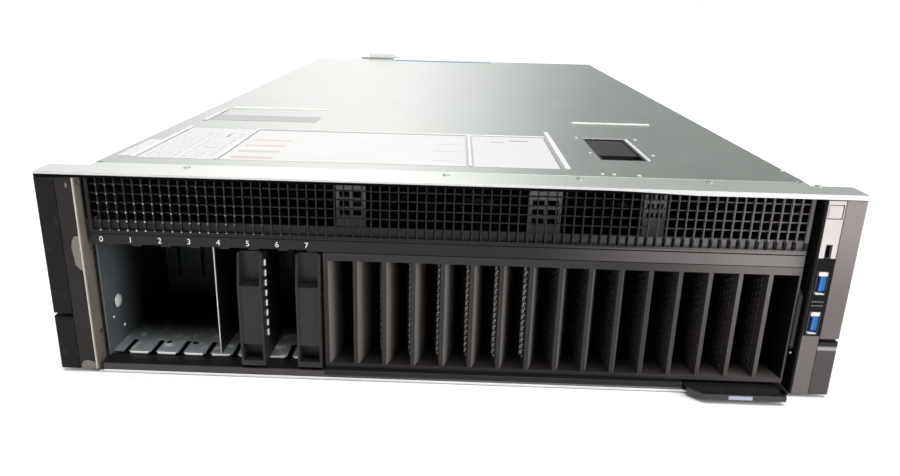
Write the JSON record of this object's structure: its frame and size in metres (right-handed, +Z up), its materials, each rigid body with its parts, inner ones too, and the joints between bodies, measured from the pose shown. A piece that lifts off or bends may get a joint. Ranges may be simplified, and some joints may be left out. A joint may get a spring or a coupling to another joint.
{
  "type": "rack storage server",
  "caption": "Three-unit rack server with a row of upright drive bays, a slot filler, a square-hole air grille, a sliding top cover with a latch, rack ears and rear power supplies.",
  "frame": {"origin": "centre line of the bottom face, in the plane where the rear of the ear flanges meets the rack", "axes": "+X to the right seen from the front, +Y from the front to the rear, +Z up"},
  "size_m": [0.4826, 0.845, 0.132],
  "materials": {
    "cover_steel": "satin zinc-coated sheet",
    "chassis_steel": "zinc-coated sheet",
    "cage_steel": "zinc-coated sheet",
    "bracket_steel": "zinc-coated sheet",
    "bezel_plastic": "fine moulded grain",
    "filler_plastic": "fine moulded grain",
    "blank_plastic": "fine moulded grain",
    "spring_steel": "bright spring sheet",
    "ear_plastic": "fine moulded grain",
    "panel_plastic": "printed film",
    "button_plastic": "smooth",
    "port_steel": "bright plated sheet",
    "blue_plastic": "smooth",
    "tag_plastic": "smooth",
    "latch_plastic": "fine moulded grain",
    "pin_steel": "turned and plated",
    "circuit_board": "solder mask over glass laminate",
    "connector_plastic": "smooth",
    "memory_board": "solder mask over glass laminate",
    "cooler_aluminium": "extruded",
    "fan_plastic": "moulded",
    "shroud_plastic": "moulded",
    "psu_metal": "satin sheet",
    "handle_plastic": "moulded",
    "release_plastic": "moulded",
    "port_shells": "plated sheet",
    "lift_handle": "smooth paint"
  },
  "bodies": {
    "chassis": {"front_hood": "cover_steel", "chassis_base": "chassis_steel", "rear_panel": "chassis_steel", "psu_bay": "chassis_steel", "card_covers": "chassis_steel", "drive_cage": "cage_steel", "cage_divider": "cage_steel", "left_ear_bracket": "bracket_steel", "right_ear_bracket": "bracket_steel", "front_grille": "bezel_plastic", "number_bar": "bezel_plastic", "front_sill": "bezel_plastic", "slot_filler": "filler_plastic", "left_ear_cover": "ear_plastic", "right_ear_cover": "ear_plastic", "left_ear_trim": "ear_plastic", "right_control_panel": "panel_plastic", "front_ports": "port_steel", "usb_tongues": "blue_plastic", "card_retainer": "blue_plastic", "tag_guide": "tag_plastic", "rack_latch_pins": "pin_steel", "board_posts": "pin_steel", "rail_studs": "pin_steel", "system_board": "circuit_board", "processor_board": "circuit_board", "drive_backplane": "circuit_board", "control_board": "circuit_board", "power_board": "circuit_board", "drive_plugs": "connector_plastic", "memory_modules": "memory_board", "processor_coolers": "cooler_aluminium", "fan_frames": "fan_plastic", "air_shroud": "shroud_plastic", "rear_ports": "port_shells", "rear_handle": "lift_handle"},
    "cover": {"top_cover": "cover_steel", "cover_latch_tray": "latch_plastic", "cover_latch_pin": "pin_steel"},
    "cover_lever": {"cover_latch_lever": "latch_plastic"},
    "cover_lock": {"cover_lock": "pin_steel"},
    "left_latch": {"left_latch_lever": "ear_plastic"},
    "right_latch": {"right_latch_lever": "ear_plastic"},
    "power_button": {"power_button": "button_plastic"},
    "info_tag": {"info_tag": "tag_plastic"},
    "blank_5": {"drive_blank_5": "blank_plastic", "blank_springs_5": "spring_steel"},
    "blank_7": {"drive_blank_7": "blank_plastic", "blank_springs_7": "spring_steel"},
    "fan_1": {"fan_rotor_1": "fan_plastic"},
    "fan_2": {"fan_rotor_2": "fan_plastic"},
    "fan_3": {"fan_rotor_3": "fan_plastic"},
    "fan_4": {"fan_rotor_4": "fan_plastic"},
    "psu_1": {"psu_1_case": "psu_metal", "psu_1_handle": "handle_plastic"},
    "psu_1_release": {"psu_1_latch": "release_plastic"},
    "psu_2": {"psu_2_case": "psu_metal", "psu_2_handle": "handle_plastic"},
    "psu_2_release": {"psu_2_latch": "release_plastic"}
  },
  "joints": [
    {"name": "cover_slide", "type": "slide", "parent": "chassis", "child": "cover", "axis": [0, 1, 0], "range_m": [0, 0.012]},
    {"name": "cover_lever_turn", "type": "hinge", "parent": "cover", "child": "cover_lever", "pos_m": [0.1185, 0.127, 0.1264], "axis": [-1, 0, 0], "range_deg": [0, 80]},
    {"name": "cover_lock_turn", "type": "hinge", "parent": "cover", "child": "cover_lock", "pos_m": [0.1185, 0.0635, 0.1206], "axis": [0, 0, 1], "range_deg": [0, 90]},
    {"name": "left_latch_turn", "type": "hinge", "parent": "chassis", "child": "left_latch", "pos_m": [-0.235, -0.013, 0.0306], "axis": [-1, 0, 0], "range_deg": [0, 25], "stiffness_Nm_per_rad": 0.05},
    {"name": "right_latch_turn", "type": "hinge", "parent": "chassis", "child": "right_latch", "pos_m": [0.235, -0.013, 0.0306], "axis": [-1, 0, 0], "range_deg": [0, 25], "stiffness_Nm_per_rad": 0.05},
    {"name": "power_button_press", "type": "slide", "parent": "chassis", "child": "power_button", "axis": [0, 1, 0], "range_m": [0, 0.001], "stiffness_N_per_m": 800},
    {"name": "info_tag_slide", "type": "slide", "parent": "chassis", "child": "info_tag", "axis": [0, -1, 0], "range_m": [-0.0095, 0.05]},
    {"name": "blank_5_slide", "type": "slide", "parent": "chassis", "child": "blank_5", "axis": [0, -1, 0], "range_m": [0, 0.046]},
    {"name": "blank_7_slide", "type": "slide", "parent": "chassis", "child": "blank_7", "axis": [0, -1, 0], "range_m": [0, 0.046]},
    {"name": "fan_1_spin", "type": "hinge", "parent": "chassis", "child": "fan_1", "pos_m": [-0.1605, 0.1393, 0.0572], "axis": [0, 1, 0], "continuous": true},
    {"name": "fan_2_spin", "type": "hinge", "parent": "chassis", "child": "fan_2", "pos_m": [-0.0535, 0.1393, 0.0572], "axis": [0, 1, 0], "continuous": true},
    {"name": "fan_3_spin", "type": "hinge", "parent": "chassis", "child": "fan_3", "pos_m": [0.0535, 0.1393, 0.0572], "axis": [0, 1, 0], "continuous": true},
    {"name": "fan_4_spin", "type": "hinge", "parent": "chassis", "child": "fan_4", "pos_m": [0.1605, 0.1393, 0.0572], "axis": [0, 1, 0], "continuous": true},
    {"name": "psu_1_slide", "type": "slide", "parent": "chassis", "child": "psu_1", "axis": [0, 1, 0], "range_m": [0, 0.15]},
    {"name": "psu_1_release_press", "type": "slide", "parent": "psu_1", "child": "psu_1_release", "axis": [-1, 0, 0], "range_m": [0, 0.002], "stiffness_N_per_m": 1200},
    {"name": "psu_2_slide", "type": "slide", "parent": "chassis", "child": "psu_2", "axis": [0, 1, 0], "range_m": [0, 0.15]},
    {"name": "psu_2_release_press", "type": "slide", "parent": "psu_2", "child": "psu_2_release", "axis": [-1, 0, 0], "range_m": [0, 0.002], "stiffness_N_per_m": 1200}
  ],
  "couplings": [
    {"joint": "cover_lever_turn", "follows": "cover_slide", "rad_per_m": 116}
  ]
}
